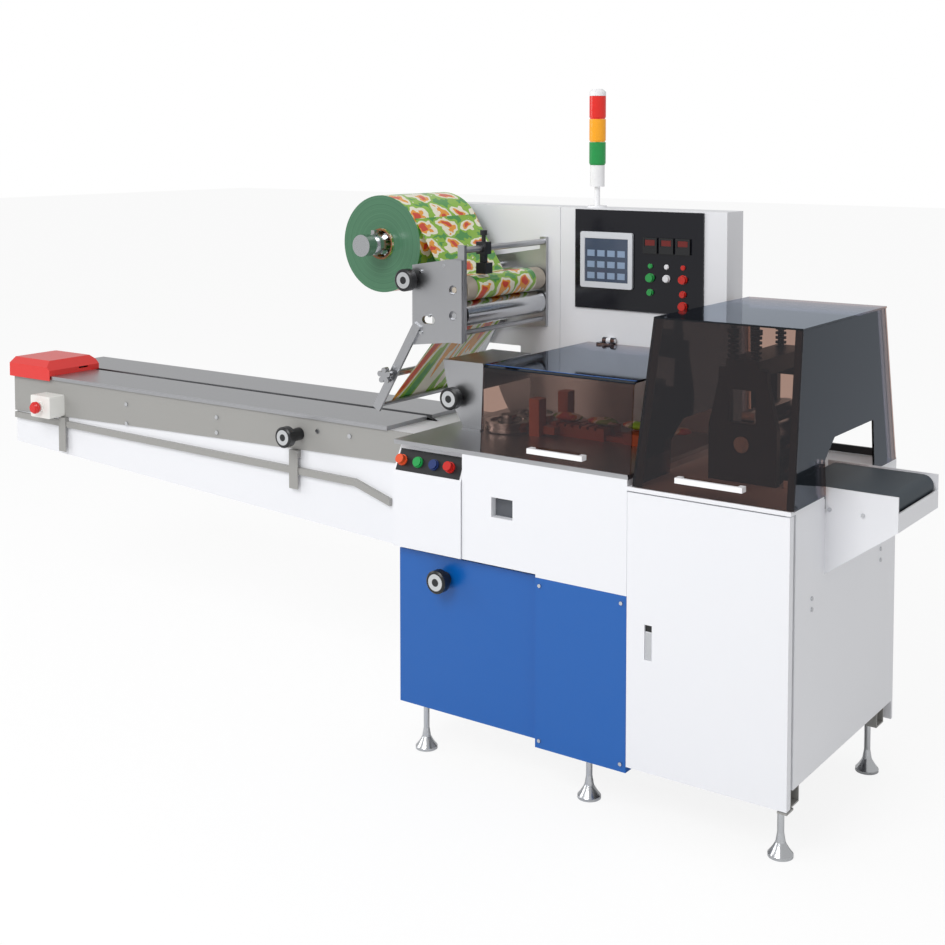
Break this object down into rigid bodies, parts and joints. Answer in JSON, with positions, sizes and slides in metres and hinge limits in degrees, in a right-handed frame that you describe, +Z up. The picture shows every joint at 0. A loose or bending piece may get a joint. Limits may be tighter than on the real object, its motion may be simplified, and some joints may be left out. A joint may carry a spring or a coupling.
{
  "type": "horizontal flow wrapper",
  "caption": "Horizontal flow wrapping machine with long infeed, film roll stand, smoked hinged covers over the seal units, control panel with signal tower, and short discharge belt.",
  "frame": {"origin": "middle of the footprint, on the floor", "axes": "+X with the product flow, from infeed to discharge; +Y from the operator side to the back; +Z up"},
  "size_m": [3.14, 0.711, 1.809],
  "materials": {
    "white_paint": "satin",
    "blue_paint": "satin",
    "red_paint": "gloss",
    "stainless": "brushed",
    "grey_paint": "matte",
    "turned_steel": "satin",
    "chain_steel": "satin",
    "dark_frame": "matte",
    "smoked_acrylic": "gloss",
    "handle_white": "gloss",
    "black_plastic": "satin",
    "panel_black": "satin",
    "screen_grey": "satin",
    "button_plastic": "satin",
    "stop_red": "satin",
    "box_plastic": "satin",
    "tower_plastic": "satin",
    "lens_plastic": "satin",
    "printed_film": "satin",
    "roller_rubber": "satin",
    "belt_rubber": "satin"
  },
  "bodies": {
    "machine": {"end_cabinet_sides": "white_paint", "end_cabinet_back": "white_paint", "end_cabinet_top": "white_paint", "front_service_panel": "white_paint", "operator_console": "white_paint", "electrical_box": "white_paint", "infeed_trough": "white_paint", "mid_housing": "white_paint", "left_lower_panel": "blue_paint", "right_lower_panel": "blue_paint", "tail_cover": "red_paint", "mid_deck": "stainless", "infeed_deck": "stainless", "film_former": "stainless", "film_guide_arms": "stainless", "film_stand_plates": "stainless", "stand_rods": "stainless", "discharge_frame": "stainless", "roll_shaft": "stainless", "infeed_side_plates": "grey_paint", "infeed_rail": "grey_paint", "base_rails": "grey_paint", "levelling_feet": "turned_steel", "infeed_chain": "chain_steel", "seal_head_frame": "dark_frame", "fin_heaters": "dark_frame", "mark_sensor": "black_plastic", "temperature_controllers": "black_plastic", "control_panel": "panel_black", "touch_screen": "screen_grey", "console_buttons": "button_plastic", "panel_buttons": "button_plastic", "stop_box": "box_plastic", "signal_tower": "tower_plastic", "tower_lenses": "lens_plastic", "film_web": "printed_film", "discharge_belt": "belt_rubber"},
    "cabinet_door_leaf": {"cabinet_door": "white_paint"},
    "middle_cover": {"middle_cover_hood": "smoked_acrylic", "middle_cover_handle": "handle_white"},
    "end_cover": {"end_cover_hood": "smoked_acrylic", "end_cover_sides": "smoked_acrylic", "end_cover_frame": "dark_frame", "end_cover_handle": "handle_white"},
    "film_reel": {"film_roll": "printed_film", "roll_chuck": "turned_steel"},
    "guide_roller_body": {"guide_roller": "roller_rubber"},
    "drive_roller_body": {"drive_roller": "turned_steel"},
    "fin_wheel_front_body": {"fin_wheel_front": "turned_steel"},
    "fin_wheel_back_body": {"fin_wheel_back": "turned_steel"},
    "upper_jaw_body": {"upper_jaw": "turned_steel"},
    "lower_jaw_body": {"lower_jaw": "turned_steel"},
    "main_knob_body": {"main_knob": "black_plastic"},
    "infeed_knob_body": {"infeed_knob": "black_plastic"},
    "former_knob_body": {"former_knob": "black_plastic"},
    "stand_knob_body": {"stand_knob": "black_plastic"},
    "stop_button_body": {"stop_button": "stop_red"}
  },
  "joints": [
    {"name": "cabinet_door_hinge", "type": "hinge", "parent": "machine", "child": "cabinet_door_leaf", "pos_m": [1.383, -0.3235, 0.47], "axis": [0, 0, 1], "range_deg": [0, 110]},
    {"name": "middle_cover_hinge", "type": "hinge", "parent": "machine", "child": "middle_cover", "pos_m": [0.759, 0.2155, 1.09], "axis": [-1, 0, 0], "range_deg": [0, 75]},
    {"name": "end_cover_hinge", "type": "hinge", "parent": "machine", "child": "end_cover", "pos_m": [1.196, 0.3455, 0.84], "axis": [-1, 0, 0], "range_deg": [0, 70]},
    {"name": "film_reel_spin", "type": "hinge", "parent": "machine", "child": "film_reel", "pos_m": [0.059, 0.0105, 1.365], "axis": [0, 1, 0], "continuous": true},
    {"name": "guide_roller_spin", "type": "hinge", "parent": "machine", "child": "guide_roller_body", "pos_m": [0.361, 0.0105, 1.256], "axis": [0, 1, 0], "continuous": true},
    {"name": "drive_roller_spin", "type": "hinge", "parent": "machine", "child": "drive_roller_body", "pos_m": [0.361, 0.0105, 1.186], "axis": [0, 1, 0], "continuous": true},
    {"name": "fin_wheel_front_spin", "type": "hinge", "parent": "machine", "child": "fin_wheel_front_body", "pos_m": [0.443, -0.056, 0.87], "axis": [0, 0, 1], "continuous": true},
    {"name": "fin_wheel_back_spin", "type": "hinge", "parent": "machine", "child": "fin_wheel_back_body", "pos_m": [0.443, 0.077, 0.87], "axis": [0, 0, 1], "continuous": true},
    {"name": "upper_jaw_spin", "type": "hinge", "parent": "machine", "child": "upper_jaw_body", "pos_m": [1.185, 0.0105, 0.925], "axis": [0, 1, 0], "continuous": true},
    {"name": "lower_jaw_spin", "type": "hinge", "parent": "machine", "child": "lower_jaw_body", "pos_m": [1.185, 0.0105, 0.775], "axis": [0, 1, 0], "continuous": true},
    {"name": "main_knob_turn", "type": "hinge", "parent": "machine", "child": "main_knob_body", "pos_m": [0.411, -0.3145, 0.497], "axis": [0, 1, 0], "continuous": true},
    {"name": "infeed_knob_turn", "type": "hinge", "parent": "machine", "child": "infeed_knob_body", "pos_m": [-0.22, -0.2145, 0.79], "axis": [0, 1, 0], "continuous": true},
    {"name": "former_knob_turn", "type": "hinge", "parent": "machine", "child": "former_knob_body", "pos_m": [0.305, -0.1345, 0.944], "axis": [0, 1, 0], "continuous": true},
    {"name": "stand_knob_turn", "type": "hinge", "parent": "machine", "child": "stand_knob_body", "pos_m": [0.215, -0.2145, 1.277], "axis": [0, 1, 0], "continuous": true},
    {"name": "stop_button_press", "type": "slide", "parent": "machine", "child": "stop_button_body", "axis": [0, 1, 0], "range_m": [0, 0.005], "stiffness_N_per_m": 400}
  ],
  "couplings": [
    {"joint": "fin_wheel_back_spin", "follows": "fin_wheel_front_spin", "ratio": -1},
    {"joint": "lower_jaw_spin", "follows": "upper_jaw_spin", "ratio": -1}
  ]
}
